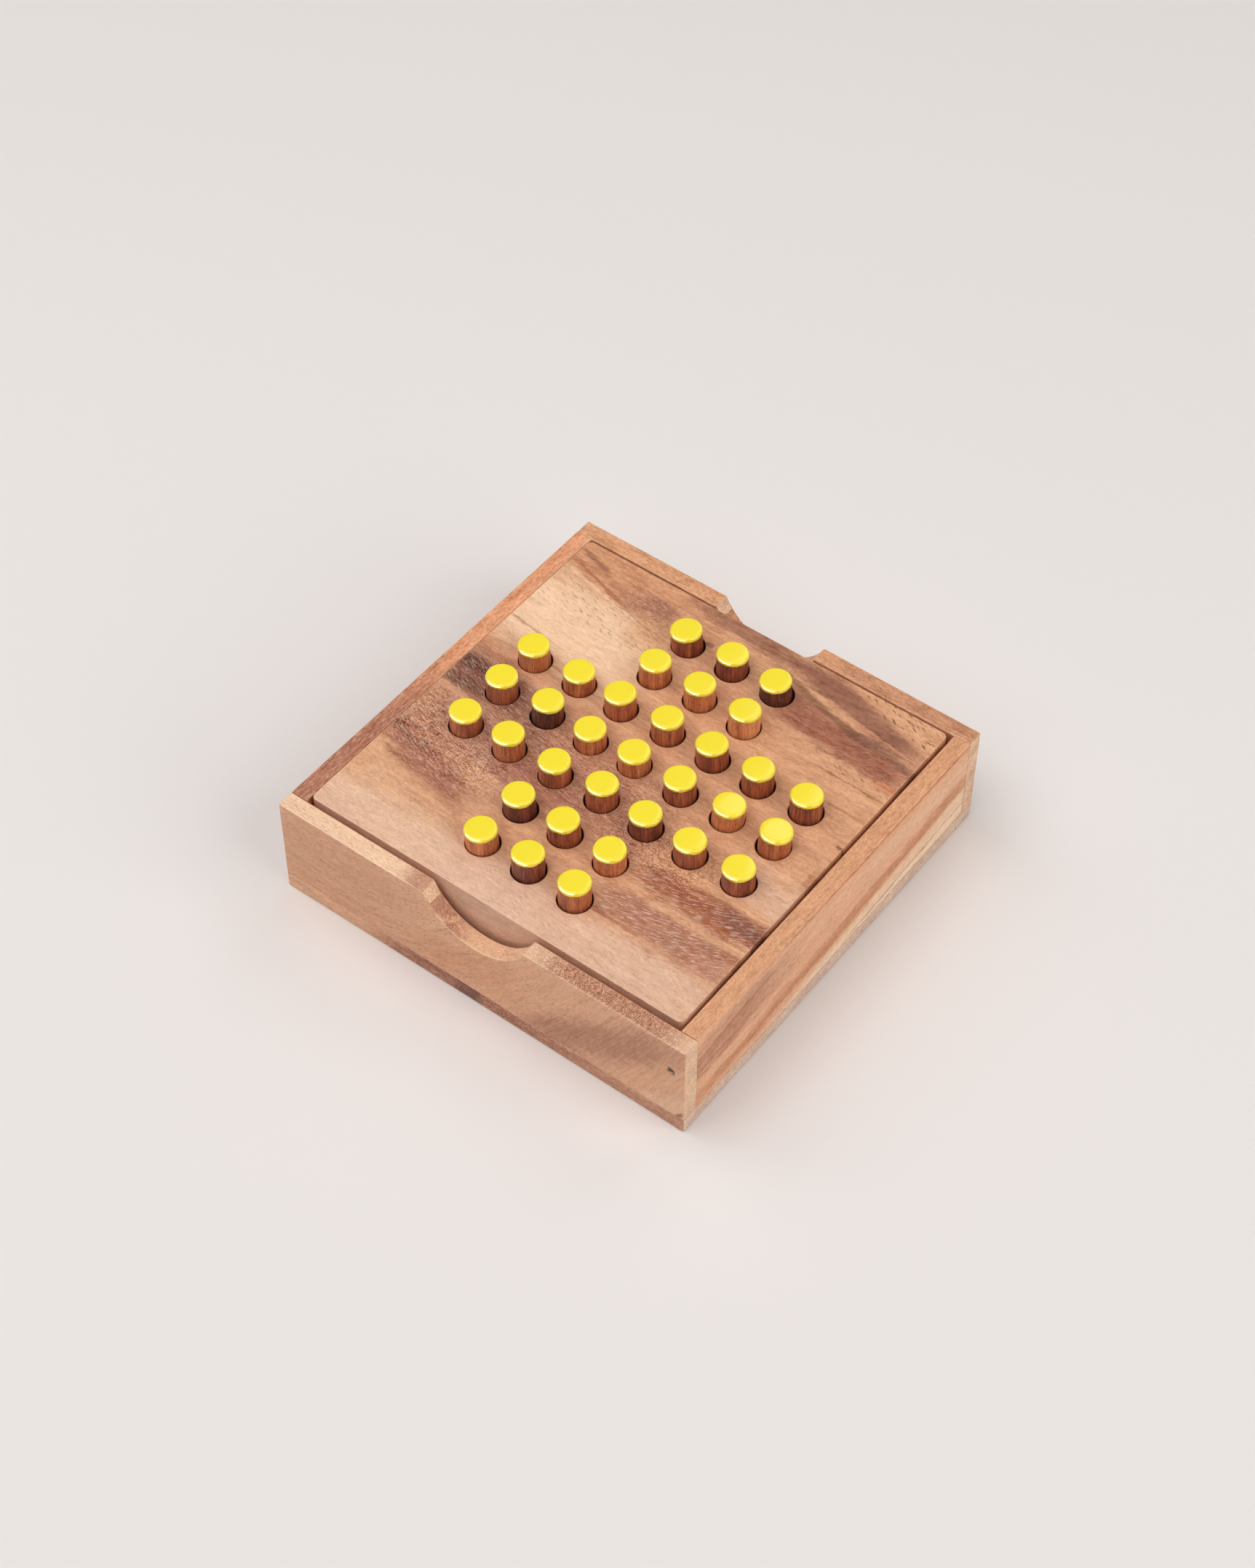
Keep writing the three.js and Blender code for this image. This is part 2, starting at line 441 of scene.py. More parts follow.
class Streak(NamedTuple):
    """A band in a wood: its middle and reach in millimetres, its strength, how ragged it is and its climb."""

    along: float
    across: float
    half_length: float
    half_width: float
    strength: float
    ragged: float = 0.3
    rise: float = 0.0


class WoodLook(NamedTuple):
    """What sets one board's wood apart. The axes say which run along, across and through the grain.

    The crest is what faces up and the end is what faces along the grain, where the same wood looks another
    way. Each has its own two woods.
    """

    axes: str
    pale: str
    deep: str
    seed: float
    wave: float
    sweep: float = 0.0
    sweep_start: float = 0.0
    tones: float = 0.4
    bands: float = 0.4
    lines: float = 0.6
    mottle: float = 0.9
    grit: float = 0.9
    pores: float = 0.3
    pore_length: float = 2.2
    pore_width: float = 0.5
    pore_slant: float = 0.0
    ripple: float = 0.08
    # pale flecks: partly the wood's own ray flecks, partly a painted sheen
    flecks: float = 0.0
    fleck_sweep: float = 0.0
    streaks: tuple = ()
    fleck_streaks: tuple = ()
    pore_streaks: tuple = ()
    ripple_streaks: tuple = ()
    crest: tuple = ()
    crest_streaks: tuple = ()
    end: tuple = ()
    roughness: float = 0.5
    # how pale the eased edges are painted: partly wear, partly a painted highlight
    wear: float = 0.3
    # whether the walls and floors of the holes are darkened: painted shade
    bore: bool = False


# The board's streaks, each with its wood, and where its flecks, ripple and pores are stronger
BOARD_STREAKS = (
    # Left of the cross: cream under red and brown wisps
    ("honey", -36, 51, 34, 9, 0.35, 0.6, -0.1),
    ("cream", -44, 28, 38, 15, 0.95, 0.35, -0.12),
    ("russet", -46, 48.2, 15, 2.2, 0.22, 1.0, -0.3),
    ("chestnut", -51, 51.4, 7, 0.9, 0.6, 1.0, -0.32),
    ("rust", -45, 45.4, 15, 0.9, 0.7, 0.9, -0.3),
    ("rose", -29, 46, 10, 5, 0.75, 1.0, -0.15),
    ("mauve", -27, 47, 6, 3, 0.45, 1.0, -0.2),
    ("cream", -41, 42.3, 19, 0.5, 0.6, 0.5, -0.22),
    ("tan", -21, 38, 11, 6.5, 0.7, 0.6, -0.15),
    ("rust", -50, 21.6, 10, 0.4, 0.5, 0.8, -0.12),
    ("rust", -30, 13.6, 12, 0.35, 0.4, 0.8, -0.1),
    # Behind the cross and to its right: mauve, with dark and light lines through it
    ("mauve", 6, 53.6, 32, 3.2, 0.8, 0.7, -0.08),
    ("mauve", 36, 49.2, 25, 4.2, 0.9, 0.5, -0.22),
    ("chestnut", 20, 52.6, 14, 1.2, 0.5, 0.9, -0.15),
    ("tan", 49, 53.6, 30, 4.9, 0.95, 0.3, -0.33),
    ("sienna", 37, 38, 27, 4.6, 0.95, 0.6, -0.07),
    ("russet", 24, 42, 9, 4, 0.75, 0.6, -0.2),
    ("apricot", 40, 45.4, 24, 0.4, 0.4, 0.6, -0.14),
    ("umber", 27, 44.8, 22, 1.5, 0.6, 0.8, -0.24),
    ("plum", 47, 41.3, 14, 1.5, 0.6, 0.8, -0.12),
    ("chestnut", -9.3, 45.2, 1.6, 1.0, 0.7, 0.4),
    ("amber", 54, 31.4, 4, 1.0, 0.5, 1.4, 0.1),
    ("rust", 46, 27.6, 13, 0.4, 0.6, 0.7, -0.02),
    ("rust", 50, 19.4, 7, 0.3, 0.4, 0.8),
    ("chestnut", 56, 9.3, 1.4, 0.6, 0.8, 0.6),
    ("rust", 56.4, -3.5, 2, 3.4, 0.5, 0.8),
    ("blush", 49, -13, 14, 7, 0.5, 0.5),
    # The dark left edge, and the mauve middle that it fades into
    ("rose", -14, -10, 40, 14, 0.75, 0.5, -0.12),
    ("mauve", -34, -3, 18, 6.5, 0.65, 0.7, -0.25),
    ("rust", -50, 8.6, 10, 1.6, 0.5, 1.0, -0.1),
    ("chestnut", -49, 0.6, 18, 7.2, 0.95, 0.3, -0.05),
    ("walnut", -55, 3.2, 9, 2.6, 0.7, 0.7, -0.1),
    ("walnut", -53, -4.2, 10, 1.6, 0.55, 0.8, -0.1),
    ("fawn", -52, -10.8, 9, 3.8, 0.8, 0.5, -0.1),
    ("pink", -34, -16, 20, 8, 0.8, 0.6, -0.25),
    ("rose", -53, -17, 10, 5, 0.45, 0.9, -0.1),
    ("rose", -46, -22, 20, 6, 0.5, 0.7, -0.22),
    ("rose", 6, -18, 20, 5, 0.5, 0.7, -0.05),
    ("russet", -17, -19, 15, 6.5, 0.75, 0.8, -0.12),
    # Front left: a red streak over rippled cream
    ("russet", -43, -29.6, 22, 5.4, 0.85, 0.7, -0.24),
    ("chestnut", -51, -26, 11, 2.4, 0.4, 1.0, -0.2),
    ("blush", -30, -52, 44, 8, 0.9),
    ("cream", -42, -46.2, 30, 9.6, 0.25, 0.2, -0.26),
    ("tan", -55.5, -38.5, 4, 6, 0.6, 0.5),
    # Front right: two red bands over blush
    ("blush", 22, -51, 52, 9, 0.85),
    ("rust", 42, -25.6, 27, 4.2, 1.0, 0.8),
    ("chestnut", 53, -24.8, 11, 2.4, 0.85, 0.8, -0.04),
    ("rose", 38, -37.4, 26, 5.4, 1.0, 0.8),
    ("rust", 25, -41.6, 11, 0.9, 0.6, 0.9),
    ("rust", 55, -34.5, 6, 1.6, 0.5, 0.8),
)
BOARD_FLECKS = (
    (-46, 0, 20, 8, 0.34),
    (-14, -10, 44, 14, 0.26, 0.3, -0.05),
    (-42, -24, 26, 11, 0.36, 0.3, -0.16),
    (38, -26, 30, 5, 0.4),
    (36, -37, 30, 5.5, 0.42),
    (50, -12, 14, 8, 0.24),
    (-27, 46, 12, 5, 0.2),
    (36, 38, 28, 5, 0.12, 0.3, -0.1),
)
BOARD_RIPPLES = (
    (-44, -46, 30, 10, 0.2),
    (-42, -20, 26, 13, 0.75, 0.3, -0.1),
    (-52, 0, 16, 8, 0.5),
    (22, -18, 22, 9, 0.7),
    (-30, 46, 12, 6, 0.35),
    (-10, -10, 40, 12, 0.45, 0.3, -0.1),
)
BOARD_PORES = (
    (46, 53.4, 27, 4.9, 0.9, 0.2, -0.33),
    (44, 31, 18, 3.4, 0.55, 0.3, -0.04),
    (36, 38, 28, 5, 0.3, 0.3, -0.1),
    (-36, 36, 32, 8, 0.42, 0.3, -0.1),
    (20, -50, 50, 8, 0.2),
)

WOOD_LOOKS = {
    "board_wood": WoodLook(
        axes="XYZ", pale="tan", deep="fawn", seed=0.0, wave=0.8, bands=0.3, lines=0.5, grit=0.8, pores=0.1,
        pore_length=2.6, pore_width=0.6, pore_slant=-0.4, fleck_sweep=0.0042, bore=True,
        streaks=BOARD_STREAKS, fleck_streaks=BOARD_FLECKS, ripple_streaks=BOARD_RIPPLES,
        pore_streaks=BOARD_PORES),
    "front_wall_wood": WoodLook(
        axes="XZY", pale="peach", deep="apricot", seed=0.3, wave=0.3, sweep=0.0097, sweep_start=-42,
        bands=0.35, lines=0.75, mottle=0.6, pore_length=1.8, roughness=0.48,
        streaks=(
            ("fawn", 35, 14.4, 27, 10, 0.55, 0.3, 0.6),
            ("rose", 35, 14.4, 27, 6, 0.46, 0.4, 0.6),
            ("honey", -4, 14, 22, 7, 0.35, 0.6, 0.3),
            ("fawn", -42, 15, 28, 17, 0.25),
            ("fawn", 54, 25, 12, 5, 0.4, 0.7, 0.5),
            ("cream", 58, 7.6, 13, 4, 0.7, 0.5, 0.6),
            ("chestnut", 61, 5.8, 1.6, 0.8, 0.7, 0.3, 0.8),
            ("bark", 58.5, 21.75, 1.35, 1.2, 0.95, 0.1),
        ),
        crest=("cream", "blush"),
        crest_streaks=(
            ("rose", 39, 31.4, 27, 6, 0.82, 0.2),
            ("honey", 0, 26, 17, 9, 0.35, 0.4),
            ("rose", -14, 29, 12, 3.8, 0.75, 0.9, -0.5),
        ),
        ripple_streaks=(
            (39, 31.9, 27, 0.9, 0.9, 0.1),
            (-1, 26.5, 16, 5.4, 0.6, 0.1),
        ),
        end=("cream", "stone")),
    "back_wall_wood": WoodLook(
        axes="XZY", pale="tan", deep="honey", seed=0.7, wave=0.7, tones=0.7, bands=0.5, mottle=1.0, grit=1.1,
        pores=0.35, ripple=0.1,
        streaks=(("rust", 10, 14, 50, 3, 0.4, 0.7, 0.03),),
        crest=("tan", "honey"),
        crest_streaks=(
            ("rose", -9, 28, 9, 4, 0.8, 0.6, -0.4),
            ("rose", 46, 31, 34, 5, 0.45, 0.8),
        ),
        end=("cream", "stone")),
    "left_wall_wood": WoodLook(
        axes="YZX", pale="honey", deep="rust", seed=1.1, wave=0.8, tones=0.7, mottle=1.0, grit=1.1,
        pore_length=2.0, ripple=0.14, flecks=0.25,
        streaks=(("rust", -40, 20, 50, 9, 0.6, 0.7),),
        crest=("apricot", "amber"),
        crest_streaks=(
            ("rose", -44, 31, 50, 4, 0.85, 0.5),
            ("russet", -50, 31, 34, 3, 0.4, 0.8),
        )),
    "right_wall_wood": WoodLook(
        axes="YZX", pale="peach", deep="apricot", seed=1.9, wave=0.6, lines=0.55, mottle=0.7, pores=0.25,
        pore_width=0.45, pore_slant=0.1, ripple=0.1,
        streaks=(
            ("rose", -50, 22.6, 40, 7, 0.5, 0.9, 0.04),
            ("rust", -50, 21, 20, 4.5, 0.3, 1.0, 0.08),
            ("rust", -40, 25, 16, 0.7, 0.35, 1.0, 0.08),
            ("honey", -4, 12.4, 88, 3, 0.75, 0.7, 0.09),
            ("rust", -10, 11.2, 40, 0.9, 0.2, 1.0, 0.08),
            ("rose", 44, 16.4, 32, 1.6, 0.25, 1.0, 0.1),
            ("milk", 26, 9.6, 62, 2.6, 0.6, 0.4, 0.11),
            ("milk", 22, 5.8, 66, 2.7, 0.95, 0.3, 0.05),
            ("sand", 32, 7.7, 36, 0.5, 0.7, 0.4, 0.065),
            ("cream", 40, 25, 40, 3.4, 0.3, 0.8),
            ("amber", 16, 31.8, 66, 1.3, 0.95, 0.5),
        ),
        crest=("tan", "honey")),
    "base_wood": WoodLook(
        axes="XZY", pale="peach", deep="sand", seed=2.6, wave=0.4, lines=0.5, grit=1.2, pore_length=1.4,
        pore_width=0.45, ripple=0.16, roughness=0.6, wear=0.25,
        streaks=(
            ("sand", -8, 2.4, 30, 4, 0.7, 0.6),
            ("rose", 0, 2.4, 40, 3.6, 0.8, 0.7),
            ("plum", -3.5, 2.4, 5.5, 3.5, 0.75, 0.6),
            ("chestnut", -16, 3.4, 12, 1.4, 0.5, 0.9, 0.05),
            ("fawn", 46, 2.4, 34, 4, 0.75, 0.5),
        ),
        ripple_streaks=((0, 2.4, 44, 4, 0.5, 0.1),),
        end=("ash", "stone")),
    "ledge_wood": WoodLook(
        axes="YZX", pale="sand", deep="fawn", seed=3.4, wave=0.6, tones=0.7, bands=0.3, mottle=0.8, grit=0.6,
        pores=0.4, pore_length=2.4, roughness=0.7, wear=0.2),
}


def new_material(name):
    """A material with an unwired Principled shader: its wiring and the shader."""
    material = bpy.data.materials.new(name)
    material.use_nodes = True
    return material, Wiring(material.node_tree), material.node_tree.nodes["Principled BSDF"]


def wood_material(name):
    """Oiled solid wood: broad tones and placed streaks, fine lines, pores, flecks that are partly a painted
    sheen, ripple, eased edges painted pale for wear and as a highlight, and painted shade in the bores.
    """
    look = WOOD_LOOKS[name]
    material, w, shader = new_material(name)
    axis = dict(zip("XYZ", w.split(w.position())))
    along, across, through = (axis[letter] for letter in look.axes)
    lie = w.group(
        grain_lie(), along=along, across=across, through=through, wave=look.wave, sweep=look.sweep,
        sweep_start=look.sweep_start, seed=look.seed)
    grain = lie["Grain"]
    fine = w.group(
        fine_grain(), grain=grain, pore_length=look.pore_length, pore_width=look.pore_width,
        pore_slant=look.pore_slant, fleck_sweep=look.fleck_sweep)

    def mask_of(numbers):
        return w.group(streak_band(), place=lie["Place"], **Streak(*numbers)._asdict())["Mask"]

    def share_of(share, streaks):
        for numbers in streaks:
            share = mask_of(numbers).most(share)
        return share

    def toned(pale, deep, streaks=()):
        broad = fine["Tones"].fade(0.3, 0.7) * look.tones
        narrow = fine["Bands"].fade(0.4, 0.7) * look.bands
        colour = w.mix(broad.most(narrow), WOODS[pale], WOODS[deep])
        for wood, *numbers in streaks:
            colour = w.mix(mask_of(numbers), colour, WOODS[wood])
        return colour

    colour = toned(look.pale, look.deep, look.streaks)
    if look.crest:
        colour = w.mix(w.attribute("crest"), colour, toned(*look.crest, look.crest_streaks))
    ripple_share = share_of(look.ripple, look.ripple_streaks)
    if look.end:
        end = w.attribute("end")
        colour = w.mix(end, colour, toned(*look.end))
        ripple_share = (end * 0.5).most(ripple_share)

    figure = 0.0
    shares = {"Lines": look.lines, "Mottle": look.mottle, "Grit": look.grit, "Ripple": ripple_share}
    for layer, share in shares.items():
        figure = (fine[layer] - 0.5) * share + figure
    _, green, _ = w.split(colour)
    figure = figure * green.fade(0.12, 0.6, 1.3, 0.55)
    colour = w.mix(1.0, colour, w.scaled(w.joined(figure, figure, figure), FIGURE_TINT, OIL), "MULTIPLY")
    pores = fine["Pores"] * share_of(look.pores, look.pore_streaks)
    colour = w.mix(pores, colour, WOODS["umber"])
    # Pale flecks: partly the wood's own ray flecks, partly a painted sheen
    flecks = fine["Flecks"] * share_of(look.flecks, look.fleck_streaks)
    colour = w.mix(flecks, colour, WOODS["ash"])
    # The eased edges are painted pale: partly wear, partly a painted highlight
    wear = w.group(edge_wear_and_highlight(), grain=grain)["Mask"]
    colour = w.mix(wear * look.wear, colour, WOODS["peach"])
    # Painted shade: the walls and floors of the holes are darkened towards bark
    if look.bore:
        colour = w.mix(w.attribute("bore") * 0.75, colour, WOODS["bark"])
    height = fine["Ripple"] * 0.16 + fine["Lines"] * 0.6 - pores
    w.feed(shader, {
        "Base Color": colour,
        "Roughness": (fine["Lines"] - 0.5) * 0.25 + pores * 0.2 + look.roughness,
        "Specular IOR Level": 0.18,
        "Normal": w.bump(height, 0.5, 0.06)})
    return material


def peg_wood():
    """Turned dowels of mixed browns: each mesh carries its own tone, redness and place in the grain."""
    material, w, shader = new_material("peg_wood")
    x, y, z = w.split(w.position())
    spot = w.joined(x, y, w.attribute("lot") * 400.0 + z)
    streaks = w.noise(spot, (0.55, 0.55, 0.035), detail=4.0, roughness=0.6) - 0.5
    lines = w.noise(spot, (3.2, 3.2, 0.16), (4, 9, 0), 4.0, 0.7)
    pores = w.pores(w.scaled(spot, (3.2, 3.2, 0.6), (1, 5, 0)), 0.2, 0.42, 0.5, 0.6)
    ramp = material.node_tree.nodes.new("ShaderNodeValToRGB")
    w.feed(ramp, {"Fac": streaks + w.attribute("tone") + (lines - 0.5) * 1.2})
    elements = ramp.color_ramp.elements
    last = len(PEG_BROWNS) - 1
    while len(elements) <= last:
        elements.new(0.5)
    for number, brown in enumerate(PEG_BROWNS):
        elements[number].position = number / last
        elements[number].color = srgb(*brown)
    colour = w.mix(w.attribute("redness") * 0.3, Signal(ramp.outputs["Color"]), srgb(158, 70, 42))
    colour = w.mix(pores * 0.45, colour, WOODS["bark"])
    # Painted glints: pale specks in the base colour stand for highlights on the grain
    glints = w.noise(spot, (3.6, 3.6, 0.5), (2, 7, 3)).fade(0.6, 0.74)
    w.feed(shader, {
        "Base Color": w.mix(glints * 0.3, colour, WOODS["honey"]),
        "Roughness": lines * 0.2 + 0.42,
        "Specular IOR Level": 0.25,
        "Normal": w.bump(lines - pores, 0.5, 0.08)})
    return material


def enamel(settings):
    """Thick yellow enamel, dipped: gently uneven, and thinner and darker at its ragged lower edge."""
    material, w, shader = new_material("yellow_enamel")
    position = w.position()
    cloud = w.noise(position, (0.2, 0.2, 0.2)).fade(0.35, 0.7)
    colour = w.mix(cloud * 0.25, (*settings.enamel, 1.0), srgb(255, 234, 66))
    thin = w.attribute("thin").fade(0.35, 1.0)
    pitted = w.noise(position, (0.7, 0.7, 0.7), (3, 1, 4))
    waves = w.noise(position, (0.3, 0.3, 0.3), (7, 2, 9), 1.0)
    w.feed(shader, {
        "Base Color": w.mix(thin * 0.55, colour, srgb(226, 176, 40)),
        "Roughness": pitted * 0.1 + 0.16,
        "Coat Weight": 0.6,
        "Coat Roughness": 0.08,
        "Normal": w.bump(pitted * 0.08 + waves, 0.2, 0.1)})
    return material


def brad_steel():
    """A dull steel brad head, darkened by tannin, with file marks."""
    material, w, shader = new_material("brad_steel")
    position = w.position()
    marks = w.noise(position, (9, 9, 1.2), detail=4.0, roughness=0.6)
    stain = w.noise(position, (2.5, 2.5, 2.5), detail=3.0).fade(0.4, 0.65)
    w.feed(shader, {
        "Base Color": w.mix(stain, srgb(70, 56, 48), srgb(48, 37, 31)),
        "Metallic": stain * -0.1 + 0.15,
        "Specular IOR Level": 0.2,
        "Roughness": marks * 0.3 + 0.55,
        "Normal": w.bump(marks, 0.2, 0.02)})
    return material


# Mesh work

SHARP = math.radians(32)  # edges that turn by more stay sharp
CORNER = math.radians(20)  # edges that turn by less belong to a round
STATION = 4 * MM  # between the cuts that give sanding points to move
CREST_RISE = 0.35  # how much a face looks up, at least, to count as crest
END_TURN = 0.8  # how much it looks along the grain, at least, to count as end
# How finely the round shapes are divided
NOTCH_STEPS = 40
PEG_SIDES = 48
CAP_SIDES = 72
BRAD_SIDES = 24
RECESS_SIDES = 28
PEG_RINGS = 9
RIM_STEPS = 3
HEAD_STEPS = 6


def add_object(name, data, material=None):
    """Puts a new object with this data in the scene, with its material if it has one."""
    if material:
        data.materials.append(material)
    made = bpy.data.objects.new(name, data)
    bpy.context.scene.collection.objects.link(made)
    return made


def mesh_of(name, shape):
    mesh = bpy.data.meshes.new(name)
    shape.to_mesh(mesh)
    shape.free()
    return mesh


def body_of(node):
    return frame["nodes"][node]["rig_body"]


def angle_at(edge):
    """How far the surface turns at an edge, or all the way round where it ends there."""
    return edge.calc_face_angle() if len(edge.link_faces) == 2 else FULL_TURN


def finish_piece(name, shape, material, node):
    """Makes a piece of a bmesh: smooth but for its sharp edges, on the body of the node that it replaces."""
    for face in shape.faces:
        face.smooth = True
    for edge in shape.edges:
        edge.smooth = angle_at(edge) < SHARP
    piece = add_object(name, mesh_of(name, shape), material)
    even = piece.modifiers.new("Even normals", "WEIGHTED_NORMAL")
    even.keep_sharp = True
    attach(piece, body_of(node))
    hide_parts(node)


def near(first, second):
    return abs(first - second) < TOUCH


def lies_on(edge, axis, *values):
    """Whether an edge lies in a plane across the axis, at one of the values."""
    return any(all(near(vert.co[axis], value) for vert in edge.verts) for value in values)


def runs_along(edge, axis):
    first, second = edge.verts
    return not near(first.co[axis], second.co[axis])


def is_corner(edge):
    return CORNER < angle_at(edge) < FULL_TURN


def of_kind(kind, geometry):
    return [item for item in geometry if isinstance(item, kind)]


def edges_at(verts):
    return list({edge for vert in verts for edge in vert.link_edges})


def across(axis):
    """The unit vector along an axis."""
    return Vector(axis == number for number in range(3))


def spoke_of(place):
    """The part of a place that points away from the upright axis."""
    return Vector((place.x, place.y, 0))


def fill(layer, faces):
    """Gives every corner of the faces the value 1 in a layer that their material reads."""
    for face in faces:
        for loop in face.loops:
            loop[layer] = 1.0


def mark_faces(shape, name, is_marked):
    shape.normal_update()
    fill(shape.loops.layers.float.new(name), filter(is_marked, shape.faces))


def mark_crest(shape):
    mark_faces(shape, "crest", lambda face: face.normal.z > CREST_RISE)


def mark_ends(shape):
    mark_faces(shape, "end", lambda face: abs(face.normal.x) > END_TURN)


def ease(shape, is_chosen, width, mark=None, segments=3):
    """Rounds the chosen edges over, and marks the new faces for the pale edge colour: partly wear, partly a
    painted highlight.
    """
    made = bmesh.ops.bevel(
        shape, geom=[edge for edge in shape.edges if is_chosen(edge)], offset=width, offset_type="OFFSET",
        segments=segments, profile=0.5, affect="EDGES", clamp_overlap=True, material=-1)
    if mark is not None:
        fill(mark, made["faces"])


def block(low, high):
    """A bmesh box between two corners."""
    shape = bmesh.new()
    matrix = Matrix.Translation((low + high) / 2) @ Matrix.Diagonal((*(high - low), 1))
    bmesh.ops.create_cube(shape, size=1, matrix=matrix)
    return shape


def cut(shape, geometry, place, axis):
    bmesh.ops.bisect_plane(shape, geom=geometry, plane_co=place, plane_no=across(axis), dist=TOUCH)


def slice_across(shape, axis, low, high, spacing=STATION):
    """Cuts a shape at even stations along an axis, so that later steps have points to move."""
    count = round((high[axis] - low[axis]) / spacing)
    for station in range(1, count):
        place = across(axis) * (low[axis] + (high[axis] - low[axis]) * station / count)
        cut(shape, shape.verts[:] + shape.edges[:] + shape.faces[:], place, axis)


def sand(shape, depth, seed):
    """Presses the surface in by a slow, uneven depth, as hand sanding leaves it."""
    shape.normal_update()
    for vert in shape.verts:
        vert.co -= vert.normal * depth * (0.5 + 0.5 * uneven(vert.co * 70, seed))
    bmesh.ops.recalc_face_normals(shape, faces=shape.faces)


def spun(profile, sides):
    """A closed shape of revolution from a profile of radius and height that starts and ends on the axis."""
    shape = bmesh.new()
    verts = [shape.verts.new((radius, 0, height)) for radius, height in profile]
    edges = [shape.edges.new(pair) for pair in zip(verts, verts[1:])]
    bmesh.ops.spin(
        shape, geom=verts + edges, cent=(0, 0, 0), axis=UP, dvec=(0, 0, 0), angle=FULL_TURN, steps=sides,
        use_merge=True)
    bmesh.ops.remove_doubles(shape, verts=shape.verts, dist=TOUCH)
    bmesh.ops.recalc_face_normals(shape, faces=shape.faces)
    return shape


def quarter_round(steps):
    """The sines and cosines of even steps through a quarter turn."""
    turns = [QUARTER_TURN * step / steps for step in range(steps + 1)]
    return [(math.sin(turn), math.cos(turn)) for turn in turns]


def uneven(place, *shift):
    """Smooth random noise from -1 to 1 at a place, moved by a shift so that each piece gets its own."""
    return noise.noise(place + Vector((*shift, 0, 0, 0)[:3]))


def standing_out(place):
    """Lays what was made upright so that it looks out of the front, at a place there."""
    return Matrix.Translation(place) @ Matrix.Rotation(QUARTER_TURN, 4, "X")


# Pieces: case

def plain_board_shape(settings, node, is_open, is_glued, cuts, seed):
    """A board with its open edges eased, its glued ones just broken and its faces sanded."""
    low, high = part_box(node)
    shape = block(low, high)
    ease(shape, is_open, settings.edge_ease, shape.loops.layers.float.new("ease"))
    ease(shape, lambda edge: is_corner(edge) and is_glued(edge), settings.joint_ease, segments=1)
    for axis in cuts:
        slice_across(shape, axis, low, high)
    sand(shape, settings.sanding, seed)
    return shape


def notched_outline(shape, settings, low, high, y):
    """The edges of a notched wall's face, standing in the plane at y: the notch is spun, the rest joined."""
    radius = settings.notch_radius
    centre = Vector((settings.notch_shift, y, high.z - settings.notch_depth + radius))
    half_angle = math.acos((centre.z - high.z) / radius)
    first = shape.verts.new(centre + Quaternion((0, 1, 0), half_angle) @ Vector((0, 0, -radius)))
    bmesh.ops.spin(
        shape, geom=[first], cent=centre, axis=(0, 1, 0), dvec=(0, 0, 0), angle=-2 * half_angle,
        steps=NOTCH_STEPS, use_merge=False)
    ends = (vert for vert in shape.verts if len(vert.link_edges) == 1)
    left, right = sorted(ends, key=lambda vert: vert.co.x)
    corners = ((low.x, high.z), (low.x, low.z), (high.x, low.z), (high.x, high.z))
    path = [left, *(shape.verts.new((x, y, z)) for x, z in corners), right]
    for here, there in zip(path, path[1:]):
        shape.edges.new((here, there))


def sink_recess(shape, centre, mouth_radius, depth):
    """A round blind hole in the front face: a small square of the face is opened for it."""
    half = 2 * mouth_radius

    def on_face(face):
        return all(near(vert.co.y, centre.y) for vert in face.verts)

    for axis in (X, Z):
        for side in (-half, half):
            faces = filter(on_face, shape.faces)
            parts = {item for face in faces for item in (face, *face.edges, *face.verts)}
            cut(shape, list(parts), centre + across(axis) * side, axis)
            shape.normal_update()

    def in_square(face):
        middle = face.calc_center_median() - centre
        return on_face(face) and abs(middle.x) < half and abs(middle.z) < half

    opened = set(filter(in_square, shape.faces))
    border = {edge for face in opened for edge in face.edges if not opened.issuperset(edge.link_faces)}
    bmesh.ops.delete(shape, geom=list(opened), context="FACES")
    made = bmesh.ops.create_circle(
        shape, cap_ends=False, segments=RECESS_SIDES, radius=mouth_radius, matrix=standing_out(centre))
    mouth = edges_at(made["verts"])
    bmesh.ops.triangle_fill(
        shape, use_beauty=True, use_dissolve=False, edges=[*border, *mouth], normal=(0, -1, 0))
    grown = bmesh.ops.extrude_edge_only(shape, edges=mouth)["geom"]
    bmesh.ops.translate(shape, vec=(0, depth, 0), verts=of_kind(BMVert, grown))
    bmesh.ops.contextual_create(shape, geom=of_kind(BMEdge, grown))


def notched_wall_shape(settings, node, outer_y, inner_y, seed, recess=None):
    low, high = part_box(node)
    shape = bmesh.new()
    mark = shape.loops.layers.float.new("ease")
    notched_outline(shape, settings, low, high, outer_y)
    face = bmesh.ops.contextual_create(shape, geom=shape.edges[:])["faces"][0]
    grown = bmesh.ops.extrude_face_region(shape, geom=[face])["geom"]
    bmesh.ops.translate(shape, verts=of_kind(BMVert, grown), vec=(0, inner_y - outer_y, 0))
    bmesh.ops.recalc_face_normals(shape, faces=shape.faces)

    def is_glued(edge):
        beside = lies_on(edge, Y, inner_y) and lies_on(edge, X, low.x, high.x)
        return is_corner(edge) and (beside or lies_on(edge, Z, low.z))

    ease(shape, lambda edge: is_corner(edge) and not is_glued(edge), settings.edge_ease, mark)
    ease(shape, is_glued, settings.joint_ease, segments=1)
    slice_across(shape, X, low, high)
    if recess:
        recess(shape)
    sand(shape, settings.sanding, seed)
    mark_crest(shape)
    mark_ends(shape)
    return shape


# Pieces: playing board

def as_seen(right, away):
    """A step on the board, given in millimetres to the camera's right and away from it."""
    return Quaternion(UP, CAMERA_HEADING) @ Vector((right, away, 0)) * MM


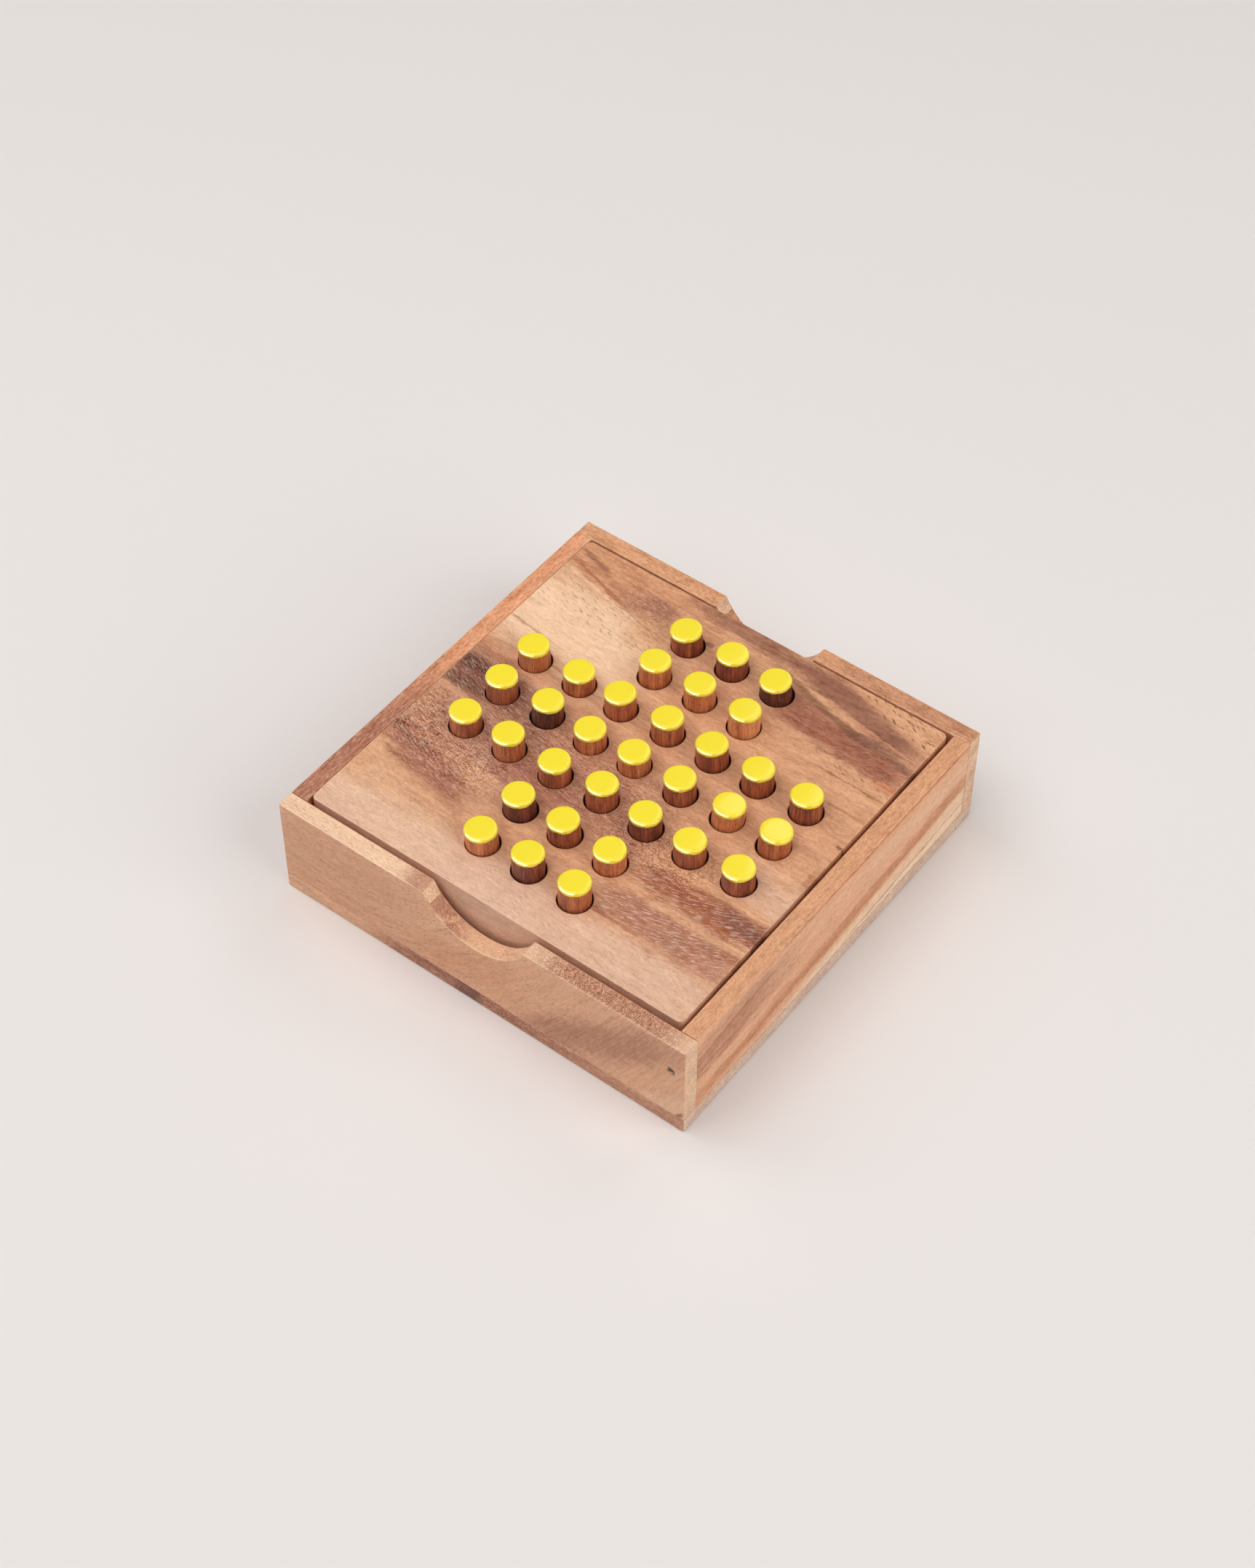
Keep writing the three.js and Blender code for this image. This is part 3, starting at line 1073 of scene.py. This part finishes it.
def hole_axis(node):
    """Where a hole's axis stands: at its peg's place in the grid, and off it by as much as it was drilled."""
    low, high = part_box(node)
    return spoke_of((low + high) / 2) + as_seen(*PEG_WOODS[node].hole)


def peg_radius(pegs):
    low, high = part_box(PEGS[0])
    return (high.x - low.x) / 2 - pegs.coat


def board_shape(board, pegs):
    low, high = (corner - Vector((board.drift, 0, 0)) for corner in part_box(BOARD))
    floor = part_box(PEGS[0])[0].z
    shape = block(low, high)
    ease_mark = shape.loops.layers.float.new("ease")
    # The hole walls and floors get a mark for painted shade
    bore_shade_mark = shape.loops.layers.float.new("bore")
    ease(shape, lambda edge: runs_along(edge, Z), board.corner_radius, segments=6)

    def is_level(edge):
        return is_corner(edge) and lies_on(edge, Z, low.z, high.z)

    ease(shape, is_level, board.edge_ease, ease_mark, segments=4)
    top = max(shape.faces, key=lambda face: face.calc_center_median().z)
    flat_edges = list(top.edges)
    bmesh.ops.delete(shape, geom=[top], context="FACES_ONLY")
    radius = peg_radius(pegs) + board.hole_clearance
    mouth = radius + board.rim_ease
    rings = []
    for number, node in enumerate(PEGS):
        centre = hole_axis(node)
        centre.z = high.z
        made = bmesh.ops.create_circle(
            shape, cap_ends=False, segments=PEG_SIDES, radius=mouth,
            matrix=Matrix.Translation(centre))
        for vert in made["verts"]:
            spoke = vert.co - centre
            vert.co += spoke.normalized() * board.rim_chips * uneven(spoke * 900, number * 7.3)
        edges = edges_at(made["verts"])
        rings.append((centre, edges))
        flat_edges += edges
    bmesh.ops.triangle_fill(shape, use_beauty=True, use_dissolve=False, edges=flat_edges, normal=UP)

    profile = [(mouth - board.rim_ease * sine, high.z - board.rim_ease * (1 - cosine))
               for sine, cosine in quarter_round(RIM_STEPS)[1:]]
    profile += [(radius, high.z - 2.5 * MM), (radius, floor + 0.2 * MM), (radius - 0.2 * MM, floor)]
    for centre, edges in rings:
        for count, (ring_radius, height) in enumerate(profile):
            grown = bmesh.ops.extrude_edge_only(shape, edges=edges)["geom"]
            edges = of_kind(BMEdge, grown)
            fill(ease_mark if count < RIM_STEPS else bore_shade_mark, of_kind(BMFace, grown))
            for vert in of_kind(BMVert, grown):
                spoke = spoke_of(vert.co - centre).normalized()
                vert.co = spoke_of(centre) + UP * height + spoke * ring_radius
        fill(bore_shade_mark, bmesh.ops.contextual_create(shape, geom=edges)["faces"])
    bmesh.ops.recalc_face_normals(shape, faces=shape.faces)
    return shape


# Pieces: pegs

LEAN_PIVOT = 5 * MM  # a loose peg leans about a point half way down its hole
HEAD_REACH = 11.6 * MM  # from there to its head


class PegWood(NamedTuple):
    """One peg as it was made and put in.

    How pale and how red its wood is; how far its hole and its head stand off the grid, each to the camera's
    right and away from it; and how far its top is below the highest, these in millimetres.
    """

    tone: float
    redness: float
    hole: tuple
    head: tuple
    short: float = 0.1


# One for each peg, by row from the front and in a row from the left
PEG_WOODS = {node: PegWood(*numbers) for node, numbers in zip(PEGS, (
    (0.66, 0.2, (-0.1, 0.2), (-0.6, 0.2), 0.9),
    (0.2, 0.6, (0.1, 0.2), (0.0, 0.7)),
    (0.5, 0.4, (0.2, -0.4), (0.2, 0.1)),
    (0.12, 0.6, (0.4, -0.3), (-0.1, -0.3), 0.4),
    (0.34, 0.6, (0.3, 0.1), (-0.2, 0.1), 0.4),
    (0.7, 0.7, (0.2, -0.3), (0.0, -0.4), 0.9),
    (0.46, 0.5, (-0.2, -0.7), (-0.2, -0.7), 0.7),
    (0.5, 0.4, (-0.2, -0.4), (-0.4, -0.2)),
    (0.5, 0.6, (0.3, -0.4), (0.1, -0.4), 0.6),
    (0.5, 0.8, (0.6, 0.1), (0.8, 0.4)),
    (0.24, 0.6, (0.4, -0.5), (0.2, -0.5), 0.4),
    (0.38, 0.7, (-0.1, -0.6), (-0.2, -0.6), 0.3),
    (0.34, 0.6, (0.4, -0.6), (0.2, -0.6), 0.3),
    (0.42, 0.3, (0.2, -0.7), (0.2, -0.6)),
    (0.08, 0.1, (0.6, -0.3), (0.9, -0.3), 0.2),
    (0.6, 0.1, (0.5, -0.5), (0.3, -0.6), 0.9),
    (0.66, 0.0, (0.3, 0.4), (0.1, 0.3), 0.9),
    (0.34, 0.4, (0.5, -0.5), (0.2, -0.5), 0.2),
    (0.74, 0.3, (0.7, -0.1), (1.2, -0.1), 0.8),
    (0.54, 0.9, (0.6, -0.3), (1.2, -0.3), 0.2),
    (0.66, 0.6, (-0.1, -0.7), (-0.5, -0.7), 0.4),
    (0.56, 0.2, (0.1, -0.7), (0.0, -0.8), 0.9),
    (0.58, 0.8, (-0.4, -0.5), (-0.7, -0.3)),
    (0.52, 0.4, (0.2, -0.4), (0.0, -0.1)),
    (0.38, 0.7, (0.2, -0.6), (-0.2, -0.3)),
    (0.42, 0.6, (0.0, -0.4), (0.0, 0.0)),
    (0.3, 0.5, (0.5, -0.5), (0.5, -0.1)),
    (0.58, 0.2, (-0.4, -0.6), (-0.2, -0.4)),
    (0.66, 0.2, (-0.1, -0.1), (-0.2, 0.1)),
    (0.84, 0.3, (-0.3, -0.6), (-0.1, -0.2)),
    (0.3, 0.5, (-0.1, -0.7), (-0.8, -0.7)),
    (0.28, 0.6, (-0.2, -0.7), (-0.1, -0.7), 0.2),
    (0.06, 0.3, (0.0, -0.7), (-0.7, -0.7), 0.9),
))}


def distort_round(shape, most, lot):
    """Takes a turned shape out of true round, alike at every height."""
    for vert in shape.verts:
        spoke = spoke_of(vert.co)
        if spoke.length > TOUCH:
            bulge = uneven(spoke.normalized() * 1.1, lot * 13.7)
            vert.co += spoke * most * min(0.3, bulge) / (4 * MM)


def dowel_shape(radius, length, lot, settings):
    """The wooden part of a peg, its foot at height zero and its top just under the enamel."""
    foot = 0.5 * MM
    shoulder = 0.55 * MM
    top = length - 2 * settings.coat
    rise = (top - shoulder - foot) / PEG_RINGS
    side = [(radius, foot + rise * ring) for ring in range(PEG_RINGS + 1)]
    shape = spun(
        [(0, 0), (radius - foot, 0), *side, (radius - 0.2 * MM, top - 0.2 * MM), (radius - shoulder, top),
         (0, top)], PEG_SIDES)
    for vert in shape.verts:
        spoke = spoke_of(vert.co)
        if spoke.length > radius / 2:
            # Faint flutes that the lathe left, much longer than they are wide
            flute = uneven(spoke * 1500 + UP * vert.co.z * 60, 0, 0, lot * 31)
            vert.co -= spoke.normalized() * 0.03 * MM * (0.5 + 0.5 * flute)
    return shape


def cap_shape(radius, length, lot, settings):
    """The enamel on a peg's head: a thin shell over the dowel, with a ragged lower edge."""
    edge = settings.head_radius
    skirt = settings.skirt
    crown = 0.06 * MM
    coat_radius = radius + settings.coat
    brow = length - crown - edge
    hem = brow - skirt
    inside = length - 3 * settings.coat
    rounded = [(coat_radius - edge + edge * sine, brow + edge * cosine)
               for sine, cosine in quarter_round(HEAD_STEPS)]
    shape = spun(
        [(0, length), (0.35 * coat_radius, length - 0.12 * crown), (0.65 * coat_radius, length - crown / 2),
         *rounded, (coat_radius, hem + 0.45 * skirt), (coat_radius, hem),
         (radius - 0.04 * MM, hem - 0.06 * MM), (radius - 0.1 * MM, length - edge - skirt / 2),
         (radius - edge, inside), (0, inside)], CAP_SIDES)
    thin = shape.verts.layers.float.new("thin")
    for vert in shape.verts:
        spoke = spoke_of(vert.co)
        if spoke.length > radius - 0.05 * MM and vert.co.z < brow:
            vert[thin] = min(1.0, (brow - vert.co.z) / skirt)
            # Broad sags round the rim, with shorter ones between them
            around = spoke.normalized()
            drop = 0.7 * uneven(around * 1.6, lot * 9.1, 3) + 0.75 * uneven(around * 6.5, lot * 5.3, 0, 8)
            vert.co.z -= vert[thin] * max(-0.75 * skirt, settings.drip * drop)
    return shape


def lean_of(wood, settings):
    """How a peg leans to bring its head from over its hole to where it stands."""
    offset = as_seen(*wood.head) - as_seen(*wood.hole)
    angle = min(offset.length / HEAD_REACH, settings.lean_limit)
    return Quaternion(UP.cross(offset), angle) if angle > 0 else Quaternion(), angle


def set_in_hole(shape, foot, turn, lean):
    """Turns a peg about its own axis, leans it about a point low in its hole and sets it in place."""
    pivot = Matrix.Translation(UP * LEAN_PIVOT)
    leant = pivot @ lean.to_matrix().to_4x4() @ pivot.inverted()
    matrix = Matrix.Translation(foot) @ leant @ Matrix.Rotation(turn, 4, "Z")
    bmesh.ops.transform(shape, matrix=matrix, verts=shape.verts)


def carry_values(shape, **values):
    """Gives every point of a mesh the same named values, for its material to read."""
    for name, value in values.items():
        layer = shape.verts.layers.float.new(name)
        for vert in shape.verts:
            vert[layer] = value


# Operators

class SOLITAIRE_OT_base_panel(bpy.types.Operator):
    """Models the base panel of the case"""

    bl_idname = "solitaire.base_panel"
    bl_label = "Base Panel"

    def execute(self, context):
        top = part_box(BASE)[1].z
        shape = plain_board_shape(
            context.scene.solitaire_case, BASE, lambda edge: not lies_on(edge, Z, top),
            lambda edge: lies_on(edge, Z, top), (X, Y), seed=1)
        mark_ends(shape)
        finish_piece("base_panel_wood", shape, wood_material("base_wood"), BASE)
        return {"FINISHED"}


class SOLITAIRE_OT_side_walls(bpy.types.Operator):
    """Models the left and right walls, which butt between the notched ones"""

    bl_idname = "solitaire.side_walls"
    bl_label = "Side Walls"

    def execute(self, context):
        low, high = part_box(SIDE_WALLS[0])

        def is_open(edge):
            return lies_on(edge, Z, high.z) and runs_along(edge, Y)

        def is_glued(edge):
            return lies_on(edge, Z, low.z) or lies_on(edge, Y, low.y, high.y)

        for seed, node in enumerate(SIDE_WALLS, 2):
            shape = plain_board_shape(context.scene.solitaire_case, node, is_open, is_glued, (Y,), seed)
            mark_crest(shape)
            wood = f"{node}_wood"
            finish_piece(wood, shape, wood_material(wood), node)
        return {"FINISHED"}


class SOLITAIRE_OT_notched_walls(bpy.types.Operator):
    """Models the front and back walls with their finger notches"""

    bl_idname = "solitaire.notched_walls"
    bl_label = "Notched Walls"

    def execute(self, context):
        settings = context.scene.solitaire_case
        brad_low, brad_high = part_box(BRAD)
        mouth = (brad_high.x - brad_low.x) / 2 + settings.brad_slack
        centre = (brad_low + brad_high) / 2
        low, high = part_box(FRONT_WALL)
        centre.y = low.y
        front = notched_wall_shape(
            settings, FRONT_WALL, low.y, high.y, seed=4,
            recess=lambda shape: sink_recess(shape, centre, mouth, settings.brad_recess))
        low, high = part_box(BACK_WALL)
        back = notched_wall_shape(settings, BACK_WALL, high.y, low.y, seed=5)
        for node, shape in ((FRONT_WALL, front), (BACK_WALL, back)):
            wood = f"{node}_wood"
            finish_piece(wood, shape, wood_material(wood), node)
        return {"FINISHED"}


class SOLITAIRE_OT_ledges(bpy.types.Operator):
    """Models the two ledges that carry the board"""

    bl_idname = "solitaire.ledges"
    bl_label = "Ledges"

    def execute(self, context):
        settings = context.scene.solitaire_case
        wood = wood_material("ledge_wood")
        for seed, node in enumerate(LEDGES, 6):
            low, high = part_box(node)
            shape = block(low, high)
            mark = shape.loops.layers.float.new("ease")
            ease(shape, is_corner, settings.edge_ease / 2, mark, segments=2)
            slice_across(shape, Y, low, high, 1.5 * STATION)
            sand(shape, settings.sanding, seed)
            finish_piece(f"{node}_wood", shape, wood, node)
        return {"FINISHED"}


class SOLITAIRE_OT_brad(bpy.types.Operator):
    """Models the small steel brad at the front corner"""

    bl_idname = "solitaire.brad"
    bl_label = "Corner Brad"

    def execute(self, context):
        low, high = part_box(BRAD)
        centre = (low + high) / 2
        centre.y = low.y
        length = high.y - low.y
        head = (high.x - low.x) / 2
        head_depth = 0.5 * MM
        shank = 0.4 * MM
        point = 0.8 * MM
        shape = spun(
            [(0, 0), (0.55 * head, -0.02 * MM), (0.9 * head, -0.1 * MM), (head, -0.22 * MM),
             (head, -head_depth), (shank, -head_depth), (shank, point - length), (0, -length)],
            BRAD_SIDES)
        bmesh.ops.transform(shape, verts=shape.verts, matrix=standing_out(centre))
        finish_piece("corner_brad_steel", shape, brad_steel(), BRAD)
        return {"FINISHED"}


class SOLITAIRE_OT_board(bpy.types.Operator):
    """Models the playing board with its 33 blind holes"""

    bl_idname = "solitaire.board"
    bl_label = "Playing Board"

    def execute(self, context):
        scene = context.scene
        shape = board_shape(scene.solitaire_board, scene.solitaire_pegs)
        finish_piece("playing_board_wood", shape, wood_material("board_wood"), BOARD)
        return {"FINISHED"}


class SOLITAIRE_OT_pegs(bpy.types.Operator):
    """Models the pegs: a dowel and its enamelled head for each hole"""

    bl_idname = "solitaire.pegs"
    bl_label = "Pegs"

    def execute(self, context):
        settings = context.scene.solitaire_pegs
        radius = peg_radius(settings)
        parts = (
            ("dowel", dowel_shape, peg_wood(), "peg_wood"),
            ("cap", cap_shape, enamel(settings), "peg_enamel"))
        chance = Random(33)
        for node in PEGS:
            wood = PEG_WOODS[node]
            low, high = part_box(node)
            lot = chance.random()
            turn = chance.random() * FULL_TURN
            lean, angle = lean_of(wood, settings)
            lift = radius * math.sin(angle)
            length = high.z - low.z - max(wood.short * MM + lift, 2 * lift + 0.06 * MM)
            foot = hole_axis(node) + UP * (low.z + lift)
            for name, shape_of, look, slot in parts:
                shape = shape_of(radius, length, lot, settings)
                distort_round(shape, settings.out_of_round, lot)
                carry_values(shape, tone=wood.tone, redness=wood.redness, lot=lot)
                set_in_hole(shape, foot, turn, lean)
                finish_piece(f"{node}_{name}", shape, look, node)
        return {"FINISHED"}


class SOLITAIRE_OT_stage(bpy.types.Operator):
    """Sets up the camera, the pale floor and the soft studio light"""

    bl_idname = "solitaire.stage"
    bl_label = "Stage"

    def execute(self, context):
        scene = context.scene
        settings = scene.solitaire_stage
        scene.view_settings.view_transform = "Standard"
        scene.camera = self.place_camera(settings)
        scene.world = self.light(settings)
        self.lay_floor(settings)
        return {"FINISHED"}

    def add_aimed(self, name, data, place, ahead, roll=0.0):
        made = add_object(name, data)
        made.location = place
        made.rotation_mode = "QUATERNION"
        made.rotation_quaternion = Vector(ahead).to_track_quat("-Z", "Y") @ Quaternion(UP, roll)
        return made

    def place_camera(self, settings):
        data = bpy.data.cameras.new("photo_camera")
        data.lens = settings.focal_length
        data.sensor_width = SENSOR_WIDTH
        data.clip_start = CLIP_NEAR
        data.clip_end = CLIP_FAR
        level = math.cos(CAMERA_DOWN)
        ahead = (-math.sin(CAMERA_HEADING) * level, math.cos(CAMERA_HEADING) * level, -math.sin(CAMERA_DOWN))
        return self.add_aimed("photo_camera", data, CAMERA_PLACE, ahead, CAMERA_ROLL)

    def lay_floor(self, settings):
        """A matt floor, which the camera sees as pale as the backdrop beyond the lamps."""
        shape = bmesh.new()
        bmesh.ops.create_grid(shape, x_segments=1, y_segments=1, size=FLOOR_HALF)
        bmesh.ops.translate(shape, verts=shape.verts, vec=UP * -FLOOR_DROP)
        material, w, shader = new_material("pale_floor")
        x, y, _ = w.split(w.node("ShaderNodeTexCoord")["Object"])
        reach = (x * x + y * y).math("SQRT")
        w.feed(shader, {
            "Base Color": (*settings.floor, 1),
            "Roughness": 0.9,
            "Specular IOR Level": 0.2,
            "Emission Color": BACKDROP_COLOUR,
            "Emission Strength": reach.fade(PALE_FROM, PALE_FULLY, 0.0, settings.backdrop) * w.seen()})
        floor = add_object("floor", mesh_of("floor", shape), material)

    def light(self, settings):
        world = bpy.data.worlds.new("studio")
        world.use_nodes = True
        w = Wiring(world.node_tree)
        strength = w.seen().fade(0.0, 1.0, settings.ambient, settings.backdrop)
        w.feed(world.node_tree.nodes["Background"], {"Color": BACKDROP_COLOUR, "Strength": strength})
        for name, size, place in LAMPS:
            self.add_lamp(f"{name}_softbox", getattr(settings, name), size, place)
        card = self.add_lamp("reflector_card", settings.reflector, REFLECTOR_WIDTH, REFLECTOR_PLACE)
        card.data.shape = "RECTANGLE"
        card.data.size_y = REFLECTOR_HEIGHT
        card.visible_diffuse = False
        return world

    def add_lamp(self, name, power, size, place):
        data = bpy.data.lights.new(name, "AREA")
        data.energy = power
        data.size = size
        return self.add_aimed(name, data, place, -Vector(place))


# Panel

class SOLITAIRE_PT_panel(bpy.types.Panel):
    """Lists the pieces of the game"""

    bl_idname = "SOLITAIRE_PT_panel"
    bl_label = "Boxed Peg Solitaire"
    bl_space_type = "VIEW_3D"
    bl_region_type = "UI"
    bl_category = "Solitaire"

    def draw(self, context):
        for operator in OPERATORS:
            self.layout.operator(operator.bl_idname)
        for group in SETTINGS:
            settings = getattr(context.scene, group)
            box = self.layout.box()
            for name in settings.__annotations__:
                box.prop(settings, name)


OPERATORS = (
    SOLITAIRE_OT_stage,
    SOLITAIRE_OT_base_panel,
    SOLITAIRE_OT_side_walls,
    SOLITAIRE_OT_notched_walls,
    SOLITAIRE_OT_ledges,
    SOLITAIRE_OT_brad,
    SOLITAIRE_OT_board,
    SOLITAIRE_OT_pegs,
)
SETTINGS = {
    "solitaire_case": CaseSettings,
    "solitaire_board": BoardSettings,
    "solitaire_pegs": PegSettings,
    "solitaire_stage": StageSettings,
}


register_classes, unregister_classes = bpy.utils.register_classes_factory(
    (*SETTINGS.values(), *OPERATORS, SOLITAIRE_PT_panel))


def register():
    register_classes()
    for name, group in SETTINGS.items():
        setattr(bpy.types.Scene, name, bpy.props.PointerProperty(type=group))


def unregister():
    for name in SETTINGS:
        delattr(bpy.types.Scene, name)
    unregister_classes()


def main():
    register()
    for operator in OPERATORS:
        category, name = operator.bl_idname.split(".")
        getattr(getattr(bpy.ops, category), name)()


if __name__ == "__main__":
    main()
